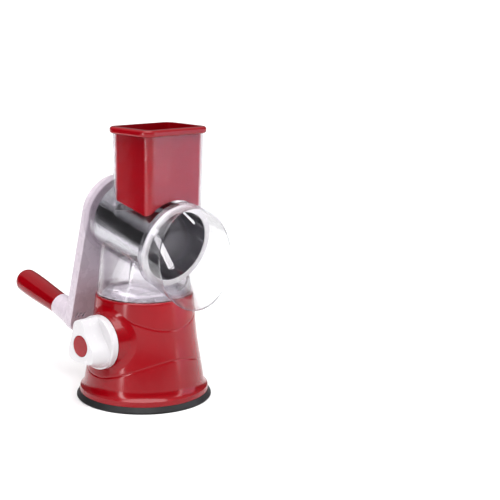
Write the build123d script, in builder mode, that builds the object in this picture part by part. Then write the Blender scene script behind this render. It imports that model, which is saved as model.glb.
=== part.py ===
from build123d import *
import os
import math

# Table-top drum shredder with a suction foot.
# +Z is up. The origin is the centre of the foot, on the table.
# The drum's mouth faces -Y, the crank is at the +Y end, the suction knob is on the -X side.
# All sizes are in millimetres.

# ---------------------------------------------------------------- sizes
PAD_R = 65.0            # rubber foot, outer radius on the table
PAD_RIM_TOP_R = 62.4    # rubber rim where it meets the shell
PAD_RIM_H = 6.0         # height of the visible rubber rim
BASE_FOOT_R = 62.0      # red shell, lowest edge
BASE_WAIST_R = 57.3     # red shell just above the foot step
BASE_WAIST_Z = 18.5
BASE_TOP_R = 46.9       # red shell, top edge
BASE_TOP_Z = 100.8
BASE_WALL = 2.6
BASE_TOP_WALL = 3.0

AXIS_Z = 164.5          # height of the drum axis over the origin
TILT = 14.5             # drum axis tips down towards the mouth, degrees

BARREL_R = 37.4         # clear barrel, outer
BARREL_IN_R = 35.4
BARREL_REAR = -38.0     # along the axis, + towards the mouth
BARREL_FRONT = 43.4
FLANGE_R = 41.0
FLANGE_T = 3.0

CHUTE_Y = -19.1         # centre of the feed chute
CHUTE_HX = 36.4         # outer half sizes of the clear chute
CHUTE_HY = 27.2
CHUTE_IN_HX = 34.9
CHUTE_IN_HY = 25.7
CHUTE_CORNER = 8.2
CHUTE_TOP_Z = 255.0
DRAFT = 1.0             # chute and pusher narrow downwards by this angle, degrees

PUSH_HX = 34.5          # pusher body, outer half sizes under its rim
PUSH_HY = 25.3
PUSH_CORNER = 7.0
PUSH_WALL = 2.0
PUSH_TOP_Z = 261.5
RIM_HX = 39.8           # pusher rim, outer half sizes
RIM_HY = 29.3
RIM_H = 6.2
PUSH_FLOOR_R = 50.0     # curved floor of the pusher
PUSH_FLOOR_V = 40.5     # its crown over the drum axis

NECK_BASE_R = 45.4      # clear neck at the base's top
NECK_TOP_Z = 160.0      # height of the neck's upper section, inside the barrel
NECK_TOP_HX = 29.7      # its half sizes and corner radius
NECK_TOP_HY = 30.5
NECK_TOP_CORNER = 8.9
NECK_WALL = 2.0

DRUM_R = 34.6           # steel drum, outer
DRUM_SHEET = 0.6
DRUM_REAR = -33.0
DRUM_FRONT = 47.0
DRUM_RING_R = 40.0      # white ring round the mouth
DRUM_RING_REAR = 44.0
DRUM_RING_FRONT = 48.0
SLOT_LEN = 50.0
SLOT_W = 6.0
SLOT_SKEW = 24.0
SLOT_COUNT = 4

GUARD_COLLAR_R = 42.3   # clear discharge guard
GUARD_WALL = 1.4
GUARD_REAR = 41.6
GUARD_LOFT = 50.0
GUARD_RIM_Y = -71.4
GUARD_RIM_Z = 144.4
GUARD_RIM_RX = 45.3
GUARD_RIM_RZ = 47.3
GUARD_RIM_TILT = -6.2

SHAFT_R = 5.0
BUSH_BORE_R = 5.05

ARM_FRONT = -44.5       # crank arm, front face on the axis
ARM_T = 10.0
ARM_HEAD_R = 33.0
ARM_END_R = 14.5
GRIP_U = -18.5          # grip axis in the drum's frame
GRIP_V = -117.0
COLLAR_END = -81.4
GRIP_END = -148.2
GRIP_R0 = 11.0
GRIP_R1 = 12.4
AXLE_R = 3.5
GRIP_BORE_R = 3.56

KNOB_X = -53.4          # back plane of the knob
KNOB_Z = 62.0
KNOB_R = 25.5
KNOB_DISC_T = 7.0
KNOB_DEPTH = 24.3
CAP_R = 10.1
CAM_R = 5.0
CAM_THROW = 3.0

# ---------------------------------------------------------------- frames
T = math.radians(TILT)
N = Vector(0, -math.cos(T), -math.sin(T))       # out of the mouth
V = Vector(0, -math.sin(T), math.cos(T))        # up, square to the drum axis
A0 = Vector(0, 0, AXIS_Z)


def drum_plane(d):
    """Plane square to the drum axis, d mm towards the mouth."""
    return Plane(origin=A0 + N * d, x_dir=(1, 0, 0), z_dir=N)


def knob_plane(h):
    """Plane square to the knob's axis, h mm outwards from the knob's back."""
    return Plane(origin=(KNOB_X - h, 0, KNOB_Z), x_dir=(0, -1, 0), z_dir=(-1, 0, 0))


def grip_plane(d):
    """Plane square to the grip's axis, d along the drum axis."""
    o = A0 + N * d + Vector(1, 0, 0) * GRIP_U + V * GRIP_V
    return Plane(origin=o, x_dir=(1, 0, 0), z_dir=N)


# cutters used by several pieces, each a plain solid outside any builder block
barrel_space = drum_plane(BARREL_REAR - FLANGE_T) * Cylinder(
    BARREL_R, BARREL_FRONT - BARREL_REAR + FLANGE_T,
    align=(Align.CENTER, Align.CENTER, Align.MIN))
collar_space = drum_plane(GUARD_REAR - 0.02) * Cylinder(
    GUARD_COLLAR_R + 0.03, 90.0, align=(Align.CENTER, Align.CENTER, Align.MIN))
guard_space = drum_plane(GUARD_LOFT - 4.0) * Cylinder(
    GUARD_COLLAR_R + 1.6, 90.0, align=(Align.CENTER, Align.CENTER, Align.MIN))

chute_opening = Pos(0, CHUTE_Y, AXIS_Z + 6.0) * extrude(
    RectangleRounded(2 * CHUTE_IN_HX - 2.8, 2 * CHUTE_IN_HY - 2.8, 5.0), amount=60)
chute_opening = chute_opening - drum_plane(38.0) * Cylinder(
    60, 60, align=(Align.CENTER, Align.CENTER, Align.MIN))

# ================================================================ foot and base
# rubber foot: flat on the table, thick rim, thin skin inside it, boss for the plunger
with BuildPart() as suction_pad:
    with BuildSketch(Plane.XZ):
        with BuildLine():
            Polyline((0, 0), (64.2, 0), (PAD_R, 0.8),
                     (PAD_R - 0.1, 1.9), (PAD_RIM_TOP_R, PAD_RIM_H), (50.8, PAD_RIM_H),
                     (49, 3.6), (12, 3.6), (12, 7.5), (0, 7.5), (0, 0))
        make_face()
    revolve(axis=Axis.Z)
suction_pad.part.label = "suction_pad"

# pressure plate: clamps the rubber and guides the plunger
PLATE_SCREW_R = 46.0
with BuildPart() as pressure_plate:
    with BuildSketch(Plane.XZ):
        with BuildLine():
            Polyline((14, 9), (50.8, 9), (50.8, 6.0), (56.6, 6.0), (56.6, 12), (17, 12),
                     (17, 18), (7.5, 18), (7.5, 30), (4.06, 30), (4.06, 15), (14, 15), (14, 9))
        make_face()
    revolve(axis=Axis.Z)
    with BuildSketch(Plane.XY.offset(5)):
        with PolarLocations(PLATE_SCREW_R, 4, start_angle=45):
            Circle(1.9)
    extrude(amount=10, mode=Mode.SUBTRACT)
pressure_plate.part.label = "pressure_plate"

with BuildPart() as plate_screws:
    with BuildSketch(Plane.XY.offset(6.8)):
        with PolarLocations(PLATE_SCREW_R, 4, start_angle=45):
            Circle(3.4)
    extrude(amount=2.2)
    with BuildSketch(Plane.XY.offset(6.8)):
        with PolarLocations(PLATE_SCREW_R, 4, start_angle=45):
            Circle(1.6)
    extrude(amount=17)
    with BuildSketch(Plane.XY.offset(6.8)):
        with PolarLocations(PLATE_SCREW_R, 4, start_angle=45):
            Rectangle(4.2, 0.8)
            Rectangle(0.8, 4.2)
    extrude(amount=1.2, mode=Mode.SUBTRACT)
plate_screws.part.label = "plate_screws"

BASE_SIDE = [(BASE_WAIST_R, BASE_WAIST_Z), (54.2, 38.0), (50.8, 60.0), (48.9, 78.0), (BASE_TOP_R, 98.6)]
LOCK_PLATE_R = 41.0
LOCK_SCREW_R = 37.3

# red shell: flared foot, long cone, flat top; round seat for the knob on the -X side
with BuildPart() as base_shell:
    with BuildSketch(Plane.XZ):
        with BuildLine():
            l1 = Polyline((BASE_FOOT_R - 2.9, PAD_RIM_H), (BASE_FOOT_R, PAD_RIM_H),
                          (61.5, 10.6), (60.3, 11.6))
            l2 = ThreePointArc((60.3, 11.6), (58.3, 14.6), (BASE_WAIST_R, BASE_WAIST_Z))
            l3 = Spline(*BASE_SIDE)
            l4 = RadiusArc((BASE_TOP_R, 98.6), (BASE_TOP_R - 2.2, BASE_TOP_Z), -2.21)
            l5 = Polyline((BASE_TOP_R - 2.2, BASE_TOP_Z), (LOCK_PLATE_R, BASE_TOP_Z),
                          (LOCK_PLATE_R, BASE_TOP_Z - 2.0), (0, BASE_TOP_Z - 2.0),
                          (0, BASE_TOP_Z - 2.0 - BASE_TOP_WALL),
                          (BASE_TOP_R - BASE_WALL, BASE_TOP_Z - 2.0 - BASE_TOP_WALL),
                          (46.2, 78.0), (48.1, 60.0), (51.5, 38.0), (54.6, BASE_WAIST_Z),
                          (57.2, 12.0), (BASE_FOOT_R - 2.9, PAD_RIM_H))
        make_face()
    revolve(axis=Axis.Z)
    # round window for the knob's seat
    with BuildSketch(knob_plane(-30.0)):
        Circle(25.0)
    extrude(amount=40, mode=Mode.SUBTRACT)
    # flat seat where the cone stands out past the seat's plane
    with BuildSketch(knob_plane(-0.3)):
        Circle(26.6)
    extrude(amount=8, mode=Mode.SUBTRACT)
    # screw bosses inside the wall, over the pressure plate
    with BuildSketch(Plane.XY.offset(12.0)):
        with PolarLocations(PLATE_SCREW_R, 4, start_angle=45):
            Circle(4.4)
    extrude(amount=38.0)
    with BuildSketch(Plane.XY.offset(12.0)):
        with PolarLocations(PLATE_SCREW_R, 4, start_angle=45):
            Circle(1.6)
    extrude(amount=14, mode=Mode.SUBTRACT)
    # holes for the lock plate's screws in the top wall
    with BuildSketch(Plane.XY.offset(BASE_TOP_Z - 8.0)):
        with PolarLocations(LOCK_SCREW_R, 4, start_angle=45):
            Circle(1.9)
    extrude(amount=8, mode=Mode.SUBTRACT)
base_shell.part.label = "base_shell"

# seat for the knob: a low round boss on the shell's side, with the tube that holds the bush
with BuildPart() as knob_seat:
    with BuildSketch(knob_plane(-20.0)):
        Circle(33.4)
    extrude(amount=19.7, taper=20)
    with BuildSketch(knob_plane(-20.5)):
        Circle(30.6)
    extrude(amount=17.5, taper=20, mode=Mode.SUBTRACT)
    with BuildSketch(knob_plane(-24.0)):
        Circle(11.0)
    extrude(amount=22.5)
    with BuildSketch(knob_plane(-24.5)):
        Circle(8.0)
    extrude(amount=30, mode=Mode.SUBTRACT)
    add(base_shell.part, mode=Mode.SUBTRACT)
    # what would lie behind the shell's wall is left out
    with BuildSketch(Plane.XY.offset(KNOB_Z - 14.0)):
        Circle(46.4)
        with Locations((-35.0, 0)):
            Rectangle(60.0, 28.0, mode=Mode.SUBTRACT)
    extrude(amount=28.0, mode=Mode.SUBTRACT)
    with BuildSketch(Plane.XY.offset(KNOB_Z + 14.0)):
        Circle(46.4)
    extrude(amount=40.0, mode=Mode.SUBTRACT)
    with BuildSketch(Plane.XY.offset(KNOB_Z - 14.0)):
        Circle(46.4)
    extrude(amount=-40.0, mode=Mode.SUBTRACT)
knob_seat.part.label = "knob_seat"

# white plate let into the base's top, with the two hooks that hold the clear housing
with BuildPart() as lock_plate:
    with BuildSketch(Plane.XY.offset(BASE_TOP_Z - 2.0)):
        Circle(LOCK_PLATE_R)
    extrude(amount=2.0)
    with BuildSketch(Plane.XY.offset(BASE_TOP_Z)):
        Circle(25.0)
        Circle(22.8, mode=Mode.SUBTRACT)
    extrude(amount=3.5)
    with BuildSketch(Plane.XY.offset(BASE_TOP_Z + 2.1)):
        with PolarLocations(26.6, 4, start_angle=45):
            Rectangle(5.2, 13.0)
    extrude(amount=1.4)
    with BuildSketch(Plane.XY.offset(BASE_TOP_Z)):
        Rectangle(46.6, 1.6)
        Rectangle(1.6, 46.6)
    extrude(amount=3.0)
    with BuildSketch(Plane.XY.offset(BASE_TOP_Z - 3.0)):
        with PolarLocations(LOCK_SCREW_R, 4, start_angle=45):
            Circle(1.55)
    extrude(amount=10, mode=Mode.SUBTRACT)
lock_plate.part.label = "lock_plate"

# ================================================================ suction drive
with BuildPart() as knob_bush:
    with BuildSketch(knob_plane(-24.0)):
        Circle(8.0)
    extrude(amount=23.6)
    with BuildSketch(knob_plane(-25.5)):
        Circle(10.5)
    extrude(amount=1.5)
    with BuildSketch(knob_plane(-26.0)):
        Circle(CAM_R + 0.05)
    extrude(amount=28, mode=Mode.SUBTRACT)
knob_bush.part.label = "knob_bush"

# shaft from the knob to the middle of the base, with an eccentric pin at its end
with BuildPart() as cam_shaft:
    with BuildSketch(knob_plane(-45.4)):
        Circle(CAM_R)
    extrude(amount=45.4)
    with BuildSketch(knob_plane(0)):
        Circle(4.2)
        with Locations((0, 5.2)):
            Rectangle(10, 4, mode=Mode.SUBTRACT)
    extrude(amount=14)
    with BuildSketch(knob_plane(-49.4)):
        Circle(7.5)
    extrude(amount=4)
    # eccentric pin, thrown towards +Y at rest
    with BuildSketch(knob_plane(-57.4)):
        with Locations((-CAM_THROW, 0)):
            Circle(2.5)
    extrude(amount=8)
    with BuildSketch(knob_plane(2.0)):
        Circle(1.5)
    extrude(amount=14, mode=Mode.SUBTRACT)
cam_shaft.part.label = "cam_shaft"

# plunger: foot on the rubber's boss, round stem, slotted yoke for the eccentric pin
with BuildPart() as plunger:
    with BuildSketch(Plane.XY.offset(7.5)):
        Circle(11.0)
    extrude(amount=2.5)
    with BuildSketch(Plane.XY.offset(9.5)):
        Circle(4.0)
    extrude(amount=46)
    with BuildSketch(Plane.XY.offset(53.0)):
        with Locations((0, 1.5)):
            Rectangle(6, 17)
    extrude(amount=18)
    with BuildSketch(Plane.YZ.offset(-4)):
        with Locations((1.5, KNOB_Z)):
            Rectangle(10.4, 6.7)
    extrude(amount=8, mode=Mode.SUBTRACT)
plunger.part.label = "plunger"

# outlines of the knob's lever at the disc and at its end, seen from outside
LEVER_FOOT = [(-3.4, 24.6), (4.0, 24.0), (8.0, 17.2), (11.0, 11.6), (14.2, 6.7), (18.0, 2.0), (21.2, -2.6),
              (22.6, -8.6), (20.6, -14.4), (14.6, -20.0), (0.0, -24.2), (-14.0, -20.2), (-20.0, -14.6),
              (-21.8, -8.4), (-19.6, -1.4), (-16.8, 5.0), (-14.4, 11.2), (-12.4, 16.6), (-10.2, 21.4)]
LEVER_END = [(-3.6, 24.4), (2.0, 23.8), (5.0, 18.2), (6.9, 13.4), (10.0, 8.0), (13.4, 3.2), (17.0, -1.6),
             (18.4, -7.0), (17.8, -12.0), (12.0, -15.4), (0.0, -15.8), (-11.6, -15.4), (-17.0, -12.0),
             (-17.8, -7.0), (-16.6, -1.6), (-14.6, 4.0), (-12.8, 9.4), (-11.4, 14.6), (-9.6, 20.6)]

# knob: round disc with a lever that is narrow at its tip and wide round the cap
with BuildPart() as suction_knob:
    with BuildSketch(knob_plane(0)):
        Circle(KNOB_R)
    extrude(amount=KNOB_DISC_T)
    fillet(suction_knob.edges().filter_by(GeomType.CIRCLE).sort_by(Axis.X)[0], 1.6)
    with BuildSketch(knob_plane(KNOB_DISC_T - 0.4)):
        with BuildLine():
            Spline(*LEVER_FOOT, periodic=True)
        make_face()
    with BuildSketch(knob_plane(KNOB_DEPTH)):
        with BuildLine():
            Spline(*LEVER_END, periodic=True)
        make_face()
    loft(ruled=True)
    fillet(suction_knob.faces().sort_by(Axis.X)[0].edges(), 0.7)
    # cap recess, screw hole, shaft socket
    with BuildSketch(knob_plane(KNOB_DEPTH - 3.0)):
        Circle(CAP_R + 0.1)
    extrude(amount=4, mode=Mode.SUBTRACT)
    with BuildSketch(knob_plane(14.0)):
        Circle(1.9)
    extrude(amount=12, mode=Mode.SUBTRACT)
    with BuildSketch(knob_plane(17.0)):
        Circle(4.0)
    extrude(amount=6, mode=Mode.SUBTRACT)
    with BuildSketch(knob_plane(-0.5)):
        Circle(4.2)
        with Locations((0, 5.2)):
            Rectangle(10, 4, mode=Mode.SUBTRACT)
    extrude(amount=14.5, mode=Mode.SUBTRACT)
suction_knob.part.label = "suction_knob"

with BuildPart() as knob_cap:
    with BuildSketch(knob_plane(KNOB_DEPTH - 3.0)):
        Circle(CAP_R)
    extrude(amount=3.4)
    fillet(knob_cap.edges().filter_by(GeomType.CIRCLE).sort_by(Axis.X)[0], 0.8)
knob_cap.part.label = "knob_cap"

with BuildPart() as knob_screw:
    with BuildSketch(knob_plane(17.0)):
        Circle(3.6)
    extrude(amount=2.6)
    with BuildSketch(knob_plane(3.0)):
        Circle(1.5)
    extrude(amount=15)
    with BuildSketch(knob_plane(18.4)):
        Rectangle(4.6, 0.9)
        Rectangle(0.9, 4.6)
    extrude(amount=3, mode=Mode.SUBTRACT)
knob_screw.part.label = "knob_screw"

# ================================================================ clear housing
# barrel: thin tube round the drum, end wall and flange at the crank end
with BuildPart() as housing_barrel:
    with BuildSketch(drum_plane(BARREL_REAR)):
        Circle(BARREL_R)
        Circle(BARREL_IN_R, mode=Mode.SUBTRACT)
    extrude(amount=BARREL_FRONT - BARREL_REAR)
    with BuildSketch(drum_plane(BARREL_REAR - FLANGE_T)):
        Circle(FLANGE_R)
        Circle(9.0, mode=Mode.SUBTRACT)
    extrude(amount=FLANGE_T)
    # opening under the chute, short of the barrel's front rim
    add(chute_opening, mode=Mode.SUBTRACT)
housing_barrel.part.label = "housing_barrel"

# small clear lug with a pin hole, on the barrel's shoulder behind the chute
with BuildPart() as barrel_lug:
    with BuildSketch(drum_plane(-26.5)):
        with Locations(Rotation(0, 0, 57.5)):
            with Locations((0, BARREL_R + 1.1)):
                RectangleRounded(12.0, 4.2, 1.0)
    extrude(amount=10.0)
    add(barrel_space, mode=Mode.SUBTRACT)
    with BuildSketch(Plane(origin=A0 + N * -21.0, x_dir=N,
                           z_dir=Vector(-math.sin(math.radians(57.5)), 0, 0)
                           + V * math.cos(math.radians(57.5)))):
        Circle(1.4)
    extrude(amount=60, mode=Mode.SUBTRACT)
barrel_lug.part.label = "barrel_lug"

# square feed chute standing on the barrel
with BuildPart() as feed_chute:
    with BuildSketch(Plane.XY.offset(CHUTE_TOP_Z)):
        with Locations((0, CHUTE_Y)):
            RectangleRounded(2 * CHUTE_HX, 2 * CHUTE_HY, CHUTE_CORNER)
    extrude(amount=AXIS_Z - CHUTE_TOP_Z, taper=DRAFT)
    with BuildSketch(Plane.XY.offset(CHUTE_TOP_Z)):
        with Locations((0, CHUTE_Y)):
            RectangleRounded(2 * CHUTE_IN_HX, 2 * CHUTE_IN_HY, CHUTE_CORNER - 1.7)
    extrude(amount=AXIS_Z - CHUTE_TOP_Z, taper=DRAFT, mode=Mode.SUBTRACT)
    add(barrel_space, mode=Mode.SUBTRACT)
    add(collar_space, mode=Mode.SUBTRACT)
feed_chute.part.label = "feed_chute"

# neck: narrowing clear skirt between the base and the barrel, with a floor, ribs and screw bosses
with BuildPart() as housing_neck:
    with BuildSketch(Plane.XY.offset(BASE_TOP_Z)):
        RectangleRounded(2 * NECK_BASE_R, 2 * NECK_BASE_R, NECK_BASE_R - 0.1)
    with BuildSketch(Plane.XY.offset(NECK_TOP_Z)):
        RectangleRounded(2 * NECK_TOP_HX, 2 * NECK_TOP_HY, NECK_TOP_CORNER)
    loft(ruled=True)
    with BuildSketch(Plane.XY.offset(BASE_TOP_Z + 2.0)):
        RectangleRounded(2 * (NECK_BASE_R - NECK_WALL - 0.5), 2 * (NECK_BASE_R - NECK_WALL - 0.5),
                         NECK_BASE_R - NECK_WALL - 0.6)
    with BuildSketch(Plane.XY.offset(NECK_TOP_Z)):
        RectangleRounded(2 * (NECK_TOP_HX - 1.5), 2 * (NECK_TOP_HY - 1.5), NECK_TOP_CORNER - 1.5)
    loft(ruled=True, mode=Mode.SUBTRACT)
    with BuildSketch(Plane.XY.offset(BASE_TOP_Z - 1)):
        Circle(30.0)
    extrude(amount=4, mode=Mode.SUBTRACT)
    # two upright ribs across the neck
    for rib_y, low, high in ((29.2, 32.6, 28.6), (-20.0, 38.8, 32.2)):
        with BuildSketch(Plane.XZ.offset(-rib_y - 0.9)):
            with BuildLine():
                Polyline((-low, BASE_TOP_Z), (low, BASE_TOP_Z), (high, BASE_TOP_Z + 45.0),
                         (-high, BASE_TOP_Z + 45.0), (-low, BASE_TOP_Z))
            make_face()
        extrude(amount=1.8)
    # the ribs stand clear of the lock plate's hooks
    with BuildSketch(Plane.XY.offset(BASE_TOP_Z - 1)):
        Circle(30.0)
    extrude(amount=6.6, mode=Mode.SUBTRACT)
    add(barrel_space, mode=Mode.SUBTRACT)
    add(collar_space, mode=Mode.SUBTRACT)
    add(guard_space, mode=Mode.SUBTRACT)
housing_neck.part.label = "housing_neck"

# screws that hold the lock plate, from inside the base
with BuildPart() as lock_screws:
    with BuildSketch(Plane.XY.offset(BASE_TOP_Z - 2.0 - BASE_TOP_WALL - 2.2)):
        with PolarLocations(LOCK_SCREW_R, 4, start_angle=45):
            Circle(3.4)
    extrude(amount=2.2)
    with BuildSketch(Plane.XY.offset(BASE_TOP_Z - 2.0 - BASE_TOP_WALL - 1)):
        with PolarLocations(LOCK_SCREW_R, 4, start_angle=45):
            Circle(1.55)
    extrude(amount=5.8)
lock_screws.part.label = "lock_screws"

with BuildPart() as rear_bush:
    with BuildSketch(drum_plane(BARREL_REAR - FLANGE_T)):
        Circle(9.0)
    extrude(amount=FLANGE_T)
    with BuildSketch(drum_plane(BARREL_REAR)):
        Circle(12.0)
    extrude(amount=1.6)
    with BuildSketch(drum_plane(BARREL_REAR - FLANGE_T - 1)):
        Circle(BUSH_BORE_R)
    extrude(amount=8, mode=Mode.SUBTRACT)
rear_bush.part.label = "rear_bush"

# discharge guard: collar round the drum's ring, then a spout that opens downwards and forwards
rim_t = math.radians(GUARD_RIM_TILT)
RIM_N = Vector(0, -math.cos(rim_t), -math.sin(rim_t))
rim_plane = Plane(origin=(0, GUARD_RIM_Y, GUARD_RIM_Z), x_dir=(1, 0, 0), z_dir=RIM_N)
with BuildPart() as discharge_guard:
    with BuildSketch(drum_plane(GUARD_REAR)):
        Circle(GUARD_COLLAR_R)
        Circle(BARREL_R + 0.02, mode=Mode.SUBTRACT)
    extrude(amount=1.4)
    with BuildSketch(drum_plane(GUARD_REAR + 1.4)):
        Circle(GUARD_COLLAR_R)
        Circle(GUARD_COLLAR_R - GUARD_WALL, mode=Mode.SUBTRACT)
    extrude(amount=GUARD_LOFT - GUARD_REAR - 1.4)
    with BuildSketch(drum_plane(GUARD_LOFT)):
        Circle(GUARD_COLLAR_R)
    with BuildSketch(rim_plane):
        Ellipse(GUARD_RIM_RX, GUARD_RIM_RZ)
    loft(ruled=True)
    with BuildSketch(drum_plane(GUARD_LOFT)):
        Circle(GUARD_COLLAR_R - GUARD_WALL)
    with BuildSketch(rim_plane):
        Ellipse(GUARD_RIM_RX - GUARD_WALL, GUARD_RIM_RZ - GUARD_WALL)
    loft(ruled=True, mode=Mode.SUBTRACT)
discharge_guard.part.label = "discharge_guard"

# ================================================================ rotor
with BuildPart() as drum_shell:
    with BuildSketch(drum_plane(DRUM_REAR)):
        Circle(DRUM_R)
        Circle(DRUM_R - DRUM_SHEET, mode=Mode.SUBTRACT)
    extrude(amount=DRUM_FRONT - DRUM_REAR)
    # long skewed slicing slots
    for k in range(SLOT_COUNT):
        ang = math.radians(-50.0 + 360.0 / SLOT_COUNT * k)
        out = Vector(math.cos(ang), 0, 0) + V * math.sin(ang)
        tang = Vector(-math.sin(ang), 0, 0) + V * math.cos(ang)
        along = N * math.cos(math.radians(SLOT_SKEW)) - tang * math.sin(math.radians(SLOT_SKEW))
        with BuildSketch(Plane(origin=A0 + N * 11.0 + out * 20.0, x_dir=along, z_dir=out)):
            SlotOverall(SLOT_LEN, SLOT_W)
        extrude(amount=30, mode=Mode.SUBTRACT)
drum_shell.part.label = "drum_shell"

# white ring round the mouth, with a small driving tab
with BuildPart() as drum_front_ring:
    with BuildSketch(drum_plane(DRUM_RING_REAR)):
        Circle(DRUM_RING_R)
        Circle(DRUM_R, mode=Mode.SUBTRACT)
    extrude(amount=DRUM_RING_FRONT - DRUM_RING_REAR)
    fillet(drum_front_ring.edges().filter_by(GeomType.CIRCLE).group_by(SortBy.RADIUS)[-1], 1.2)
    with BuildSketch(drum_plane(DRUM_RING_FRONT)):
        with Locations(Rotation(0, 0, 150)):
            with Locations((37.6, 0)):
                RectangleRounded(2.6, 7.0, 0.8)
    extrude(amount=3.2)
drum_front_ring.part.label = "drum_front_ring"

# white hub closing the drum's crank end, square socket for the shaft
with BuildPart() as drum_hub:
    with BuildSketch(drum_plane(DRUM_REAR)):
        Circle(DRUM_R - DRUM_SHEET)
    extrude(amount=2.4)
    with BuildSketch(drum_plane(DRUM_REAR)):
        Circle(DRUM_R - DRUM_SHEET)
        Circle(DRUM_R - DRUM_SHEET - 2.0, mode=Mode.SUBTRACT)
    extrude(amount=7)
    with BuildSketch(drum_plane(DRUM_REAR - 2.0)):
        Circle(10.0)
    extrude(amount=14)
    with BuildSketch(drum_plane(DRUM_REAR)):
        with PolarLocations(0, 6):
            with Locations((19.0, 0)):
                Rectangle(26, 2.0)
    extrude(amount=6)
    with BuildSketch(drum_plane(DRUM_REAR - 3.0)):
        Rectangle(7.0, 7.0)
    extrude(amount=12, mode=Mode.SUBTRACT)
drum_hub.part.label = "drum_hub"

with BuildPart() as drive_shaft:
    with BuildSketch(drum_plane(-43.9)):
        Circle(SHAFT_R)
    extrude(amount=8.9)
    with BuildSketch(drum_plane(-35.0)):
        Rectangle(7.0, 7.0)
    extrude(amount=10.5)
    with BuildSketch(drum_plane(-51.5)):
        Rectangle(7.0, 7.0)
    extrude(amount=7.6)
    with BuildSketch(drum_plane(-51.5)):
        Circle(1.6)
    extrude(amount=14, mode=Mode.SUBTRACT)
drive_shaft.part.label = "drive_shaft"

# crank arm: round head, tapering arm, collar for the grip; hollow from behind, three short vents
with BuildPart() as crank_arm:
    with BuildSketch(drum_plane(ARM_FRONT - ARM_T)):
        Circle(ARM_HEAD_R)
        with Locations((GRIP_U, GRIP_V)):
            Circle(ARM_END_R)
        make_hull()
    extrude(amount=ARM_T)
    fillet(crank_arm.faces().sort_by(Axis.Y)[0].edges(), 1.0)
    # pocket behind
    with BuildSketch(drum_plane(ARM_FRONT - ARM_T)):
        Circle(ARM_HEAD_R - 2.6)
        with Locations((GRIP_U, GRIP_V)):
            Circle(ARM_END_R - 2.6)
        make_hull()
        Circle(13.0, mode=Mode.SUBTRACT)
        with Locations((GRIP_U, GRIP_V)):
            Circle(13.6, mode=Mode.SUBTRACT)
        with Locations(Rotation(0, 0, math.degrees(math.atan2(GRIP_V, GRIP_U)))):
            with Locations((60, 0)):
                Rectangle(112, 2.2, mode=Mode.SUBTRACT)
    extrude(amount=ARM_T - 2.6, mode=Mode.SUBTRACT)
    # hub towards the bush
    with BuildSketch(drum_plane(ARM_FRONT)):
        Circle(12.0)
    extrude(amount=2.9)
    # collar behind the arm's end
    with BuildSketch(grip_plane(ARM_FRONT - ARM_T + 1.0)):
        Circle(13.6)
    with BuildSketch(grip_plane(COLLAR_END)):
        Circle(11.3)
    loft()
    # shaft socket, screw hole and head recess
    with BuildSketch(drum_plane(-51.5)):
        Rectangle(7.0, 7.0)
    extrude(amount=7.6, mode=Mode.SUBTRACT)
    with BuildSketch(drum_plane(-43.9)):
        Circle(SHAFT_R)
    extrude(amount=3, mode=Mode.SUBTRACT)
    with BuildSketch(drum_plane(ARM_FRONT - ARM_T - 1)):
        Circle(1.9)
    extrude(amount=8, mode=Mode.SUBTRACT)
    with BuildSketch(drum_plane(ARM_FRONT - ARM_T - 1)):
        Circle(4.6)
    extrude(amount=2.5, mode=Mode.SUBTRACT)
    # axle hole, blind from the collar's end
    with BuildSketch(grip_plane(COLLAR_END - 1)):
        Circle(AXLE_R)
    extrude(amount=31, mode=Mode.SUBTRACT)
    # three short slanted slots near the end of the arm
    for su, sv in ((-26.6, -110.4), (-22.3, -110.9), (-18.0, -111.4)):
        with BuildSketch(drum_plane(ARM_FRONT - 3.5)):
            with Locations((su, sv)):
                with Locations(Rotation(0, 0, 62)):
                    SlotOverall(6.2, 1.7)
        extrude(amount=5, mode=Mode.SUBTRACT)
crank_arm.part.label = "crank_arm"

with BuildPart() as crank_screw:
    with BuildSketch(drum_plane(-56.2)):
        Circle(4.2)
    extrude(amount=3.2)
    with BuildSketch(drum_plane(-54.0)):
        Circle(1.6)
    extrude(amount=14)
crank_screw.part.label = "crank_screw"

with BuildPart() as crank_cap:
    with BuildSketch(drum_plane(-57.3)):
        Circle(12.2)
    extrude(amount=2.8)
    fillet(crank_cap.edges().filter_by(GeomType.CIRCLE).sort_by(Axis.Y)[-1], 1.2)
    with BuildSketch(drum_plane(-56.2)):
        Circle(4.8)
    extrude(amount=3, mode=Mode.SUBTRACT)
crank_cap.part.label = "crank_cap"

# axle of the grip: fixed in the collar, barbed head inside the grip
with BuildPart() as grip_axle:
    with BuildSketch(grip_plane(-137.0)):
        Circle(AXLE_R)
    extrude(amount=85.6)
    with BuildSketch(grip_plane(-137.0)):
        Circle(4.8)
    extrude(amount=3.0)
grip_axle.part.label = "grip_axle"

# ================================================================ grip
L_GRIP = COLLAR_END - 0.35 - GRIP_END
with BuildPart() as grip:
    with BuildSketch(Plane(origin=grip_plane(COLLAR_END - 0.35).origin, x_dir=(1, 0, 0),
                           z_dir=V)):
        with BuildLine():
            g1 = Polyline((GRIP_BORE_R, 0), (GRIP_R0 - 0.5, 0), (GRIP_R0, 0.5))
            g2 = Spline((GRIP_R0, 0.5), (11.9, 27.0), (GRIP_R1, 50.0), (GRIP_R1 - 0.2, 57.5))
            g3 = ThreePointArc((GRIP_R1 - 0.2, 57.5), (9.2, 64.0), (3.0, L_GRIP))
            g4 = Polyline((3.0, L_GRIP), (0, L_GRIP), (0, 58.5), (5.4, 58.5), (5.4, 52.2),
                          (GRIP_BORE_R, 52.2), (GRIP_BORE_R, 0))
        make_face()
    revolve(axis=Axis(grip_plane(0).origin, N))
grip.part.label = "grip"

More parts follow.
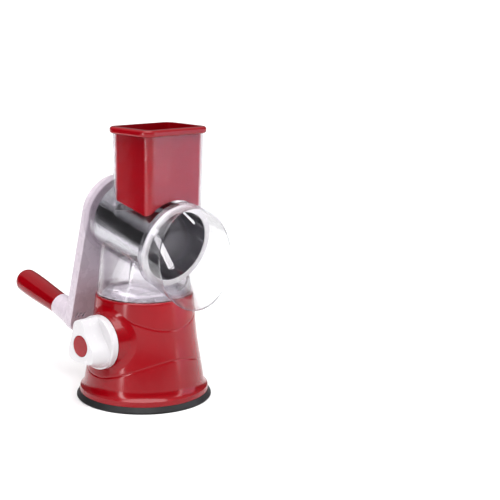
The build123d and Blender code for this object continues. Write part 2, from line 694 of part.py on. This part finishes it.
# ================================================================ pusher
# hollow square cup with a rolled rim; its floor follows the drum
with BuildPart() as pusher:
    with BuildSketch(Plane.XY.offset(PUSH_TOP_Z - RIM_H)):
        with Locations((0, CHUTE_Y)):
            RectangleRounded(2 * RIM_HX, 2 * RIM_HY, PUSH_CORNER + 4.4)
    extrude(amount=RIM_H)
    fillet(pusher.edges().group_by(Axis.Z)[-1], 2.6)
    fillet(pusher.edges().group_by(Axis.Z)[0], 2.2)
    with BuildSketch(Plane.XY.offset(PUSH_TOP_Z - 1.0)):
        with Locations((0, CHUTE_Y)):
            RectangleRounded(2 * PUSH_HX, 2 * PUSH_HY, PUSH_CORNER)
    extrude(amount=172.0 - (PUSH_TOP_Z - 1.0), taper=DRAFT)
    # curved floor, outside
    with BuildSketch(drum_plane(-80)):
        with Locations((0, PUSH_FLOOR_V - PUSH_FLOOR_R)):
            Circle(PUSH_FLOOR_R)
    extrude(amount=160, mode=Mode.SUBTRACT)
pusher_outer = pusher.part
inner_block = Pos(0, CHUTE_Y, PUSH_TOP_Z + 1.0) * extrude(
    RectangleRounded(2 * (PUSH_HX - PUSH_WALL), 2 * (PUSH_HY - PUSH_WALL), PUSH_CORNER - PUSH_WALL),
    amount=-91.0, taper=DRAFT)
inner_floor = drum_plane(-80) * Pos(0, PUSH_FLOOR_V - PUSH_FLOOR_R, 0) * Cylinder(
    PUSH_FLOOR_R + 2.2, 160, align=(Align.CENTER, Align.CENTER, Align.MIN))
cup_space = inner_block - inner_floor
with BuildPart() as pusher_cup:
    add(pusher_outer)
    add(cup_space, mode=Mode.SUBTRACT)
pusher_cup.part.label = "pusher"

# ---------------------------------------------------------------- write
os.makedirs("parts", exist_ok=True)
export_step(suction_pad.part, "parts/suction_pad.step")
export_step(pressure_plate.part, "parts/pressure_plate.step")
export_step(plate_screws.part, "parts/plate_screws.step")
export_step(base_shell.part, "parts/base_shell.step")
export_step(knob_bush.part, "parts/knob_bush.step")
export_step(cam_shaft.part, "parts/cam_shaft.step")
export_step(plunger.part, "parts/plunger.step")
export_step(suction_knob.part, "parts/suction_knob.step")
export_step(knob_cap.part, "parts/knob_cap.step")
export_step(knob_screw.part, "parts/knob_screw.step")
export_step(housing_barrel.part, "parts/housing_barrel.step")
export_step(barrel_lug.part, "parts/barrel_lug.step")
export_step(feed_chute.part, "parts/feed_chute.step")
export_step(housing_neck.part, "parts/housing_neck.step")
export_step(lock_screws.part, "parts/lock_screws.step")
export_step(lock_plate.part, "parts/lock_plate.step")
export_step(knob_seat.part, "parts/knob_seat.step")
export_step(rear_bush.part, "parts/rear_bush.step")
export_step(discharge_guard.part, "parts/discharge_guard.step")
export_step(drum_shell.part, "parts/drum_shell.step")
export_step(drum_front_ring.part, "parts/drum_front_ring.step")
export_step(drum_hub.part, "parts/drum_hub.step")
export_step(drive_shaft.part, "parts/drive_shaft.step")
export_step(crank_arm.part, "parts/crank_arm.step")
export_step(crank_screw.part, "parts/crank_screw.step")
export_step(crank_cap.part, "parts/crank_cap.step")
export_step(grip_axle.part, "parts/grip_axle.step")
export_step(grip.part, "parts/grip.step")
export_step(pusher_cup.part, "parts/pusher.step")
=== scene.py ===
import math
import bpy
import bmesh
from mathutils import Matrix, Vector


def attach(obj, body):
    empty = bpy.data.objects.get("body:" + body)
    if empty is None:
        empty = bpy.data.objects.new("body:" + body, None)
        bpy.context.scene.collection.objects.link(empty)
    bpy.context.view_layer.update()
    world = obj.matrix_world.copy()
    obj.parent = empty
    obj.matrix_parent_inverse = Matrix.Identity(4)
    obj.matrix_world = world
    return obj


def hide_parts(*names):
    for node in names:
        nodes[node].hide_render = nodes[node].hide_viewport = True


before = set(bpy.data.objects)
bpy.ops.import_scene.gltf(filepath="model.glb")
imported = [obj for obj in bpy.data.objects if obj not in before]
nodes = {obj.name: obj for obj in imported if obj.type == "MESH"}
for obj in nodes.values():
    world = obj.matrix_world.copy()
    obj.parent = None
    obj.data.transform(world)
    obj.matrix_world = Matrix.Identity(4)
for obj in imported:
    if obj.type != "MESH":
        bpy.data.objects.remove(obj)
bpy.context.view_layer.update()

D = bpy.data
scene = bpy.context.scene

# ------------------------------------------------------------------ drum frame, in metres
TILT = math.radians(14.5)
AX0 = Vector((0, 0, 0.1645))
AXN = Vector((0, -math.cos(TILT), -math.sin(TILT)))     # out of the mouth
AXU = Vector((1, 0, 0))
AXV = Vector((0, -math.sin(TILT), math.cos(TILT)))


# ------------------------------------------------------------------ node helpers
class Tree:
    """A short way to build a material's nodes."""

    def __init__(self, name):
        self.mat = D.materials.new(name)
        self.mat.use_nodes = True
        self.nt = self.mat.node_tree
        self.nt.nodes.clear()
        self.out = self.nt.nodes.new("ShaderNodeOutputMaterial")

    def add(self, kind, **settings):
        n = self.nt.nodes.new(kind)
        for k, v in settings.items():
            if hasattr(n, k):
                setattr(n, k, v)
        return n

    def link(self, a, b):
        self.nt.links.new(a, b)

    def coords(self, rotate=(0, 0, 0), scale=(1, 1, 1), location=(0, 0, 0)):
        t = self.add("ShaderNodeTexCoord")
        m = self.add("ShaderNodeMapping")
        m.inputs["Rotation"].default_value = rotate
        m.inputs["Scale"].default_value = scale
        m.inputs["Location"].default_value = location
        self.link(t.outputs["Object"], m.inputs["Vector"])
        return m.outputs["Vector"]

    def noise(self, vec, scale, detail=4.0, rough=0.5, distortion=0.0):
        n = self.add("ShaderNodeTexNoise")
        n.inputs["Scale"].default_value = scale
        n.inputs["Detail"].default_value = detail
        n.inputs["Roughness"].default_value = rough
        n.inputs["Distortion"].default_value = distortion
        self.link(vec, n.inputs["Vector"])
        return n.outputs["Fac"]

    def ramp(self, fac, *stops):
        r = self.add("ShaderNodeValToRGB")
        e = r.color_ramp.elements
        while len(e) < len(stops):
            e.new(0.5)
        for i, (pos, col) in enumerate(stops):
            e[i].position = pos
            e[i].color = (col, col, col, 1) if isinstance(col, (int, float)) else (*col, 1)
        self.link(fac, r.inputs["Fac"])
        return r.outputs["Color"]

    def span(self, fac, low, high):
        m = self.add("ShaderNodeMapRange")
        m.inputs["To Min"].default_value = low
        m.inputs["To Max"].default_value = high
        self.link(fac, m.inputs["Value"])
        return m.outputs["Result"]

    def bump(self, height, strength, distance, normal=None):
        b = self.add("ShaderNodeBump")
        b.inputs["Strength"].default_value = strength
        b.inputs["Distance"].default_value = distance
        self.link(height, b.inputs["Height"])
        if normal is not None:
            self.link(normal, b.inputs["Normal"])
        return b.outputs["Normal"]

    def principled(self, **values):
        p = self.add("ShaderNodeBsdfPrincipled")
        for k, v in values.items():
            key = k.replace("_", " ")
            p.inputs[key].default_value = v
        self.link(p.outputs["BSDF"], self.out.inputs["Surface"])
        return p


def moulded(name, colour, shade, rough=(0.16, 0.26), coat=0.0, grain=0.05, seed=0.0, spec=0.5):
    """Injection-moulded gloss plastic: slow colour drift, faint orange peel, uneven polish."""
    t = Tree(name)
    c = t.coords(location=(seed, seed * 0.7, -seed))
    big = t.noise(c, 14.0, 3.0)
    col = t.ramp(big, (0.3, colour), (0.7, shade))
    p = t.principled(Coat_Weight=coat, Coat_Roughness=0.05, Specular_IOR_Level=spec)
    t.link(col, p.inputs["Base Color"])
    scuff = t.noise(c, 90.0, 6.0, 0.6)
    t.link(t.span(scuff, *rough), p.inputs["Roughness"])
    peel = t.noise(c, 420.0, 2.0)
    n1 = t.bump(peel, grain, 0.0006)
    wave = t.noise(c, 45.0, 2.0)
    n2 = t.bump(wave, grain * 1.2, 0.002, n1)
    t.link(n2, p.inputs["Normal"])
    return t.mat


def rubber(name):
    t = Tree(name)
    c = t.coords()
    col = t.ramp(t.noise(c, 60.0, 5.0), (0.35, (0.010, 0.010, 0.011)), (0.7, (0.020, 0.020, 0.021)))
    p = t.principled(Specular_IOR_Level=0.4)
    t.link(col, p.inputs["Base Color"])
    t.link(t.span(t.noise(c, 160.0, 5.0), 0.42, 0.62), p.inputs["Roughness"])
    t.link(t.bump(t.noise(c, 900.0, 3.0), 0.2, 0.0004), p.inputs["Normal"])
    return t.mat


def steel(name, colour, rough, streak=(900.0, 900.0, 12.0), tilt=0.0, strength=0.06):
    """Rolled or brushed metal; streaks run round or along the drum's axis."""
    t = Tree(name)
    c = t.coords(rotate=(tilt, 0, 0), scale=(1, 1, 1))
    s = t.add("ShaderNodeMapping")
    s.inputs["Scale"].default_value = streak
    t.link(c, s.inputs["Vector"])
    lines = t.noise(s.outputs["Vector"], 1.0, 4.0, 0.6)
    blot = t.noise(c, 25.0, 4.0)
    p = t.principled(Metallic=1.0)
    t.link(t.ramp(blot, (0.3, colour), (0.75, tuple(min(1, v * 1.1) for v in colour))), p.inputs["Base Color"])
    t.link(t.span(lines, *rough), p.inputs["Roughness"])
    t.link(t.bump(lines, strength, 0.0003), p.inputs["Normal"])
    return t.mat


def clear(name, tint=(0.97, 0.96, 0.975), rough=0.02, ior=1.2, thin=0.58, body=(0.97, 0.965, 0.975), edge=(0.60, 0.60, 0.62)):
    """Clear moulded styrene: real refraction in thin walls, lets lamps through."""
    t = Tree(name)
    c = t.coords()
    p = t.add("ShaderNodeBsdfPrincipled")
    p.inputs["Transmission Weight"].default_value = 1.0
    p.inputs["IOR"].default_value = ior
    p.inputs["Base Color"].default_value = (*tint, 1)
    p.inputs["Coat Weight"].default_value = 0.35
    p.inputs["Coat Roughness"].default_value = 0.04
    t.link(t.span(t.noise(c, 60.0, 4.0), rough * 0.5, rough * 2.0), p.inputs["Roughness"])
    t.link(t.bump(t.noise(c, 38.0, 2.0), 0.03, 0.002), p.inputs["Normal"])
    tr = t.add("ShaderNodeBsdfTransparent")
    lw = t.add("ShaderNodeLayerWeight")
    lw.inputs["Blend"].default_value = 0.32
    t.link(t.ramp(lw.outputs["Facing"], (0.0, body), (0.55, body), (0.95, edge)), tr.inputs["Color"])
    lp = t.add("ShaderNodeLightPath")
    mix = t.add("ShaderNodeMixShader")
    half = t.add("ShaderNodeMixShader")
    half.inputs["Fac"].default_value = thin
    t.link(p.outputs["BSDF"], half.inputs[1])
    t.link(tr.outputs["BSDF"], half.inputs[2])
    t.link(lp.outputs["Is Shadow Ray"], mix.inputs["Fac"])
    t.link(half.outputs["Shader"], mix.inputs[1])
    t.link(tr.outputs["BSDF"], mix.inputs[2])
    t.link(mix.outputs["Shader"], t.out.inputs["Surface"])
    return t.mat


M_RED = moulded("red_moulding", (0.27, 0.0003, 0.0060), (0.215, 0.00025, 0.0048), rough=(0.12, 0.21), coat=0.10, spec=0.42)
M_RED_PUSH = moulded("red_pusher", (0.30, 0.0003, 0.0075), (0.25, 0.00025, 0.006), rough=(0.14, 0.23), coat=0.12, seed=3.0, spec=0.45)
M_WHITE = moulded("white_moulding", (0.60, 0.585, 0.60), (0.56, 0.545, 0.56), rough=(0.20, 0.32), coat=0.2, seed=5.0)
# Crank arm and cap: white plastic given a darker lilac-grey base colour, painted shade standing in for the shade on
# the arm's front face.
M_ARM_PAINTED_SHADE = moulded("arm_white_painted_shade", (0.56, 0.495, 0.55), (0.545, 0.48, 0.535), rough=(0.24, 0.31), coat=0.15, grain=0.02, seed=6.0)
# Lock plate: white made much brighter than the other white mouldings, painted light making up for the shade it sits
# in under the barrel and drum.
M_LOCK_PAINTED_LIGHT = moulded("lock_plate_painted_light", (0.90, 0.87, 0.90), (0.86, 0.83, 0.86), rough=(0.25, 0.4), seed=7.0)
M_NYLON = moulded("nylon", (0.74, 0.73, 0.68), (0.68, 0.67, 0.62), rough=(0.4, 0.55), seed=8.0)
M_RUBBER = rubber("foot_rubber")
M_DRUM = steel("drum_sheet", (0.56, 0.56, 0.58), (0.12, 0.24), streak=(700.0, 9.0, 700.0), tilt=-TILT)
M_SCREW = steel("zinc", (0.55, 0.55, 0.57), (0.22, 0.38), streak=(400.0, 400.0, 400.0))
M_CLEAR = clear("clear_styrene")
M_CLEAR_NECK = clear("clear_neck", ior=1.33, thin=0.25, rough=0.03)
M_CLEAR_CHUTE = clear("clear_chute", thin=0.55, body=(0.94, 0.935, 0.95), edge=(0.5, 0.5, 0.52))
M_CLEAR_GUARD = clear("clear_guard", thin=0.30, body=(0.93, 0.93, 0.94), edge=(0.5, 0.5, 0.52), ior=1.25)

LOOK = {
    "suction_pad": M_RUBBER, "pressure_plate": M_NYLON, "plate_screws": M_SCREW, "base_shell": M_RED,
    "knob_bush": M_NYLON, "cam_shaft": M_SCREW, "plunger": M_NYLON, "suction_knob": M_WHITE,
    "knob_cap": M_RED, "knob_screw": M_SCREW, "housing_barrel": M_CLEAR, "barrel_lug": M_CLEAR,
    "feed_chute": M_CLEAR_CHUTE, "housing_neck": M_CLEAR_NECK, "lock_screws": M_SCREW, "lock_plate": M_LOCK_PAINTED_LIGHT, "knob_seat": M_RED, "rear_bush": M_NYLON,
    "discharge_guard": M_CLEAR_GUARD, "drum_shell": M_DRUM, "drum_front_ring": M_WHITE, "drum_hub": M_WHITE,
    "drive_shaft": M_SCREW, "crank_arm": M_ARM_PAINTED_SHADE, "crank_screw": M_SCREW, "crank_cap": M_ARM_PAINTED_SHADE,
    "grip_axle": M_SCREW, "grip": M_RED, "pusher": M_RED_PUSH,
}
for name, mat in LOOK.items():
    o = nodes[name]
    o.data.materials.clear()
    o.data.materials.append(mat)

# ------------------------------------------------------------------ base shell with its two wave lines
def natural_spline(pts, n):
    """Points of a smooth curve through pts (r, z), natural ends, parameter by chord length."""
    t = [0.0]
    for (x0, y0), (x1, y1) in zip(pts, pts[1:]):
        t.append(t[-1] + math.hypot(x1 - x0, y1 - y0))
    m = len(pts)

    def second(v):
        a = [0.0] * m; b = [1.0] * m; cc = [0.0] * m; d = [0.0] * m
        for i in range(1, m - 1):
            h0, h1 = t[i] - t[i - 1], t[i + 1] - t[i]
            a[i], b[i], cc[i] = h0, 2 * (h0 + h1), h1
            d[i] = 6 * ((v[i + 1] - v[i]) / h1 - (v[i] - v[i - 1]) / h0)
        for i in range(1, m):
            w = a[i] / b[i - 1]
            b[i] -= w * cc[i - 1]
            d[i] -= w * d[i - 1]
        r = [0.0] * m
        r[-1] = d[-1] / b[-1]
        for i in range(m - 2, -1, -1):
            r[i] = (d[i] - cc[i] * r[i + 1]) / b[i]
        return r
    xs, ys = [q[0] for q in pts], [q[1] for q in pts]
    sx, sy = second(xs), second(ys)
    out = []
    for k in range(n + 1):
        u = t[-1] * k / n
        i = min(m - 2, max(j for j in range(m) if t[j] <= u + 1e-9))
        h = t[i + 1] - t[i]
        f, g = (t[i + 1] - u) / h, (u - t[i]) / h
        out.append(tuple(f * v[i] + g * v[i + 1] + ((f ** 3 - f) * w[i] + (g ** 3 - g) * w[i + 1]) * h * h / 6
                         for v, w in ((xs, sx), (ys, sy))))
    return out


def lathe(profile, steps, name, sway=None):
    """Closed profile (r, z) in mm turned round Z; sway(r, z, angle) may move a point's radius."""
    me = D.meshes.new(name)
    bm = bmesh.new()
    rings = []
    for k in range(steps):
        a = 2 * math.pi * k / steps
        ca, sa = math.cos(a), math.sin(a)
        ring = []
        for (r, z, moves) in profile:
            q = r + (sway(z, a) if moves and sway else 0.0)
            ring.append(bm.verts.new((q * ca / 1000, q * sa / 1000, z / 1000)))
        rings.append(ring)
    n = len(profile)
    for k in range(steps):
        r0, r1 = rings[k], rings[(k + 1) % steps]
        for i in range(n):
            j = (i + 1) % n
            bm.faces.new((r0[i], r1[i], r1[j], r0[j]))
    bmesh.ops.recalc_face_normals(bm, faces=bm.faces)
    bm.to_mesh(me)
    bm.free()
    o = D.objects.new(name, me)
    scene.collection.objects.link(o)
    return o


def wave_depth(z, a):
    """Shallow groove along two lines that rise and fall twice round the shell."""
    d = 0.0
    for mid, swing, phase in ((82.0, 8.0, 173.0), (36.8, 9.0, -97.0)):
        line = mid + swing * math.cos(2 * (a - math.radians(phase)))
        slope = 2 * swing * math.sin(2 * (a - math.radians(phase))) / 50.0
        off = (z - line) / math.hypot(1, slope)
        if abs(off) < 1.3:
            d -= 0.38 * (0.5 + 0.5 * math.cos(math.pi * off / 1.3))
    return d


side = natural_spline([(57.3, 18.5), (54.2, 38.0), (50.8, 60.0), (48.9, 78.0), (46.9, 98.6)], 230)
prof = [(62.0 - 2.9, 6.0, 0), (62.0, 6.0, 0), (61.5, 10.6, 0), (60.3, 11.6, 0), (59.2, 12.9, 0), (58.3, 14.6, 0), (57.75, 16.2, 0)]
prof = [q for q in prof if q[1] < 18.5 - 0.3]
prof += [(r, z, 1) for r, z in side]
for k in range(1, 7):
    w = math.radians(15 * k)
    prof.append((46.9 - 2.2 + 2.2 * math.cos(w), 100.8 - 2.2 + 2.2 * math.sin(w), 0))
low = 100.8 - 2.0
prof += [(41.0, 100.8, 0), (41.0, low, 0), (6.0, low, 0), (6.0, low - 3.0, 0),
         (46.9 - 2.6, low - 3.0, 0), (46.2, 78.0, 0), (48.1, 60.0, 0), (51.5, 38.0, 0), (54.6, 18.5, 0), (57.2, 12.0, 0)]
shell = lathe(prof, 480, "shell_waved", wave_depth)
cutter = lathe([(0.01, 20.0, 0), (25.0, 20.0, 0), (25.0, 53.1, 0), (26.6, 53.1, 0), (26.6, 75.0, 0), (0.01, 75.0, 0)], 96, "window_tool")
cutter.matrix_world = Matrix.Translation((0, 0, 62.0 / 1000)) @ Matrix.Rotation(math.radians(-90), 4, "Y")
bpy.context.view_layer.update()
mod = shell.modifiers.new("window", "BOOLEAN")
mod.operation = "DIFFERENCE"
mod.solver = "EXACT"
mod.object = cutter
dg = bpy.context.evaluated_depsgraph_get()
cut = D.meshes.new_from_object(shell.evaluated_get(dg))
shell.modifiers.clear()
old = shell.data
shell.data = cut
D.meshes.remove(old)
D.objects.remove(cutter)
cut.materials.clear()
cut.materials.append(M_RED)
cut.shade_smooth()
cut.set_sharp_from_angle(angle=math.radians(32))
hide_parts("base_shell")
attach(shell, "housing")


def shell_radius(z):
    for (r0, z0), (r1, z1) in zip(side, side[1:]):
        if z0 <= z <= z1:
            return r0 + (r1 - r0) * (z - z0) / (z1 - z0)
    return side[0][0] if z < side[0][1] else side[-1][0]


def fairing(name, seat_x, seat_z, r_in, r_out, thick, steps=160, rows=26):
    """Low swell that carries the shell's skin out to the knob's flat seat."""
    me = D.meshes.new(name)
    bm = bmesh.new()
    skins = []
    for shift in (0.0, thick):
        skin = []
        for i in range(rows + 1):
            t = i / rows
            s_ = 1.0 - (1.0 - t) ** 2.3
            ring = []
            for k in range(steps):
                f = 2 * math.pi * k / steps
                r = r_in + (r_out - r_in) * t
                y, z = r * math.cos(f), seat_z + r * math.sin(f)
                rr = shell_radius(z)
                wall = -math.sqrt(max(1.0, rr * rr - y * y)) + (0.25 * t ** 10 if shift == 0.0 else 0.0)
                x = (1 - s_) * seat_x + s_ * min(wall, wall) + shift
                if wall < seat_x:
                    x = seat_x + (wall - seat_x) * s_ + shift
                ring.append(bm.verts.new((x / 1000, y / 1000, z / 1000)))
            skin.append(ring)
        skins.append(skin)
    for skin in skins:
        for i in range(rows):
            for k in range(steps):
                j = (k + 1) % steps
                bm.faces.new((skin[i][k], skin[i][j], skin[i + 1][j], skin[i + 1][k]))
    for row in (0, rows):
        for k in range(steps):
            j = (k + 1) % steps
            bm.faces.new((skins[0][row][k], skins[0][row][j], skins[1][row][j], skins[1][row][k]))
    bmesh.ops.recalc_face_normals(bm, faces=bm.faces)
    bm.to_mesh(me)
    bm.free()
    me.materials.append(M_RED)
    me.shade_smooth()
    me.set_sharp_from_angle(angle=math.radians(40))
    o = D.objects.new(name, me)
    scene.collection.objects.link(o)
    return o


swell = fairing("seat_swell", -53.1, 62.0, 24.6, 34.5, 1.2)
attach(swell, "housing")

# ------------------------------------------------------------------ floor
me = D.meshes.new("floor")
bm = bmesh.new()
bmesh.ops.create_grid(bm, x_segments=1, y_segments=1, size=14.0)
bm.to_mesh(me)
bm.free()
floor = D.objects.new("floor", me)
scene.collection.objects.link(floor)
ft = Tree("floor_paper")
fp = ft.principled(Roughness=0.7, Specular_IOR_Level=0.2)
ft.link(ft.ramp(ft.noise(ft.coords(), 3.0, 2.0), (0.3, (0.90, 0.90, 0.90)), (0.7, (0.92, 0.92, 0.92))), fp.inputs["Base Color"])
me.materials.append(ft.mat)

# ------------------------------------------------------------------ studio light
world = D.worlds.new("studio")
scene.world = world
world.use_nodes = True
wt = world.node_tree
wt.nodes.clear()
wo = wt.nodes.new("ShaderNodeOutputWorld")
bg = wt.nodes.new("ShaderNodeBackground")
seen = wt.nodes.new("ShaderNodeBackground")
seen.inputs["Color"].default_value = (1, 1, 1, 1)
seen.inputs["Strength"].default_value = 1.0
tc = wt.nodes.new("ShaderNodeTexCoord")
sep = wt.nodes.new("ShaderNodeSeparateXYZ")
wt.links.new(tc.outputs["Generated"], sep.inputs["Vector"])
sky = wt.nodes.new("ShaderNodeValToRGB")
el = sky.color_ramp.elements
while len(el) < 5:
    el.new(0.5)
for i, (pos, v) in enumerate(((0.0, 0.45), (0.06, 0.14), (0.35, 0.20), (0.7, 0.62), (1.0, 0.70))):
    el[i].position = pos
    el[i].color = (v, v, v * 1.01, 1)
wt.links.new(sep.outputs["Z"], sky.inputs["Fac"])
wt.links.new(sky.outputs["Color"], bg.inputs["Color"])
bg.inputs["Strength"].default_value = 1.0
lpw = wt.nodes.new("ShaderNodeLightPath")
mixw = wt.nodes.new("ShaderNodeMixShader")
wt.links.new(lpw.outputs["Is Camera Ray"], mixw.inputs["Fac"])
wt.links.new(bg.outputs["Background"], mixw.inputs[1])
wt.links.new(seen.outputs["Background"], mixw.inputs[2])
wt.links.new(mixw.outputs["Shader"], wo.inputs["Surface"])


def softbox(name, where, at, size, power, colour=(1, 1, 1)):
    light = D.lights.new(name, "AREA")
    light.shape = "RECTANGLE"
    light.size, light.size_y = size
    light.energy = power
    light.color = colour
    o = D.objects.new(name, light)
    scene.collection.objects.link(o)
    o.location = where
    d = Vector(at) - Vector(where)
    o.rotation_euler = d.to_track_quat("-Z", "Y").to_euler()
    return o


softbox("key_left", (-1.25, -0.12, 0.50), (0, 0, 0.15), (0.16, 1.2), 5.0)
softbox("fill_right", (0.75, -1.15, 0.50), (0, 0, 0.15), (0.30, 1.2), 4.2)


def flag(name, where, facing, size):
    """Dark card that only gloss reflects, as studios stand beside shiny things."""
    fm = D.meshes.new(name)
    fb = bmesh.new()
    bmesh.ops.create_grid(fb, x_segments=1, y_segments=1, size=0.5)
    bmesh.ops.scale(fb, vec=(size[0], size[1], 1.0), verts=fb.verts)
    fb.to_mesh(fm)
    fb.free()
    ftree = Tree(name + "_cloth")
    fp2 = ftree.principled(Roughness=0.9, Specular_IOR_Level=0.0)
    fp2.inputs["Base Color"].default_value = (0.02, 0.02, 0.02, 1)
    fm.materials.append(ftree.mat)
    o = D.objects.new(name, fm)
    scene.collection.objects.link(o)
    o.location = where
    o.rotation_euler = (Vector(facing) - Vector(where)).to_track_quat("Z", "Y").to_euler()
    o.visible_camera = False
    o.visible_diffuse = False
    o.visible_shadow = False
    return o


flag("flag_left", (-0.40, 0.36, 0.12), (0, 0, 0.12), (0.42, 0.6))
# Glowing pale-lilac card, no lamp, seen only in gloss and transmission: it lays a painted sheen on the pusher's and
# base's right faces.
card = flag("card_right", (0.52, -0.46, 0.10), (0, 0, 0.10), (0.42, 0.7))
cp = next(n for n in card.data.materials[0].node_tree.nodes if n.type == "BSDF_PRINCIPLED")
cp.inputs["Emission Color"].default_value = (0.90, 0.82, 1.0, 1)
cp.inputs["Emission Strength"].default_value = 1.7
sun = D.lights.new("top", "SUN")
sun.energy = 2.35
sun.angle = math.radians(55)
so = D.objects.new("top", sun)
scene.collection.objects.link(so)
so.rotation_euler = Vector((0.25, 0.30, -1.0)).to_track_quat("-Z", "Y").to_euler()

# ------------------------------------------------------------------ camera
cam = D.cameras.new("camera")
cam.sensor_fit = "HORIZONTAL"
cam.sensor_width = 36.0
cam.lens = 84.615
cam.clip_start = 0.05
cam.clip_end = 20.0
co = D.objects.new("camera", cam)
scene.collection.objects.link(co)
right = Vector((0.69442, -0.71930, 0.01981))
up = Vector((0.13085, 0.15330, 0.97948))
back = Vector((-0.70757, -0.67758, 0.20058))
m = Matrix.Identity(4)
for i in range(3):
    m[i][0], m[i][1], m[i][2] = right[i], up[i], back[i]
m.translation = Vector((-0.72196, -0.83043, 0.36847))
co.matrix_world = m
scene.camera = co

scene.view_settings.view_transform = "Standard"
scene.view_settings.look = "Medium High Contrast"
scene.cycles.max_bounces = 20
scene.cycles.transmission_bounces = 20
scene.cycles.transparent_max_bounces = 24
